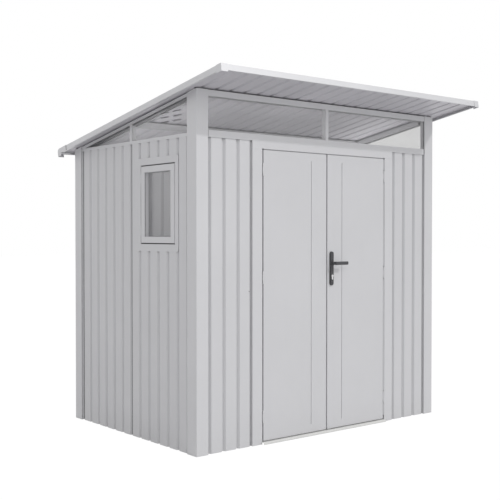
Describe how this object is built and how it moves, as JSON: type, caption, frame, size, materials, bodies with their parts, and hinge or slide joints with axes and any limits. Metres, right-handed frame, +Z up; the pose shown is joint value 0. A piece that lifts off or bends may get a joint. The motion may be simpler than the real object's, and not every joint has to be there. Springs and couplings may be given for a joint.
{
  "type": "metal storage shed",
  "caption": "Walk-in garden shed of ribbed painted steel with a pent roof, clear glazing under the roof, a small side window and outward double doors with a lever handle.",
  "frame": {"origin": "on the ground under the middle of the roof's outline", "axes": "+Z up, the doors face -Y, +X to the right for a person who faces the doors"},
  "size_m": [2.0988, 1.7812, 2.0702],
  "materials": {
    "wall_sheet": "satin light grey paint on ribbed sheet steel",
    "frame_grey": "satin light grey paint on folded steel",
    "trim_grey": "satin light grey paint",
    "roof_sheet": "satin light grey paint on ribbed sheet steel",
    "clear_sheet": "clear polycarbonate sheet",
    "threshold_metal": "plain folded metal strip",
    "handle_dark": "dark grey moulded plastic",
    "key_steel": "plain metal"
  },
  "bodies": {
    "shed": {"front_left_panel": "wall_sheet", "front_right_panel": "wall_sheet", "left_window_panel": "wall_sheet", "left_rear_panel": "wall_sheet", "right_front_panel": "wall_sheet", "right_rear_panel": "wall_sheet", "back_left_panel": "wall_sheet", "back_middle_panel": "wall_sheet", "back_right_panel": "wall_sheet", "window_surround": "wall_sheet", "base_rails": "frame_grey", "front_left_post": "frame_grey", "front_right_post": "frame_grey", "rear_left_post": "frame_grey", "rear_right_post": "frame_grey", "left_jamb": "frame_grey", "right_jamb": "frame_grey", "door_header": "frame_grey", "transom_rail": "frame_grey", "front_top_rail": "frame_grey", "rear_top_rail": "frame_grey", "side_top_rails": "frame_grey", "gable_rails": "frame_grey", "roof_purlin": "frame_grey", "glazing_bars": "frame_grey", "window_sash": "frame_grey", "window_hinges": "frame_grey", "frame_hinges": "frame_grey", "front_roof_trim": "trim_grey", "rear_roof_trim": "trim_grey", "side_roof_trims": "trim_grey", "roof_corner_caps": "trim_grey", "front_panes": "clear_sheet", "left_gable_panes": "clear_sheet", "right_gable_panes": "clear_sheet", "window_glass": "clear_sheet", "roof_panels": "roof_sheet", "threshold": "threshold_metal"},
    "left_door": {"left_door_leaf": "wall_sheet", "left_leaf_hinges": "frame_grey"},
    "right_door": {"right_door_leaf": "wall_sheet", "right_leaf_hinges": "frame_grey", "handle_plate": "handle_dark", "key_cylinder": "key_steel"},
    "lever": {"lever": "handle_dark"}
  },
  "joints": [
    {"name": "left_door_hinge", "type": "hinge", "parent": "shed", "child": "left_door", "pos_m": [-0.5055, -0.56222, 0.958], "axis": [0, 0, -1], "range_deg": [0, 110]},
    {"name": "right_door_hinge", "type": "hinge", "parent": "shed", "child": "right_door", "pos_m": [0.5055, -0.56222, 0.958], "axis": [0, 0, 1], "range_deg": [0, 110]},
    {"name": "lever_turn", "type": "hinge", "parent": "right_door", "child": "lever", "pos_m": [0.036, -0.57422, 1.029], "axis": [0, 1, 0], "range_deg": [0, 40], "stiffness_Nm_per_rad": 0.8, "springref_deg": -28.65}
  ]
}
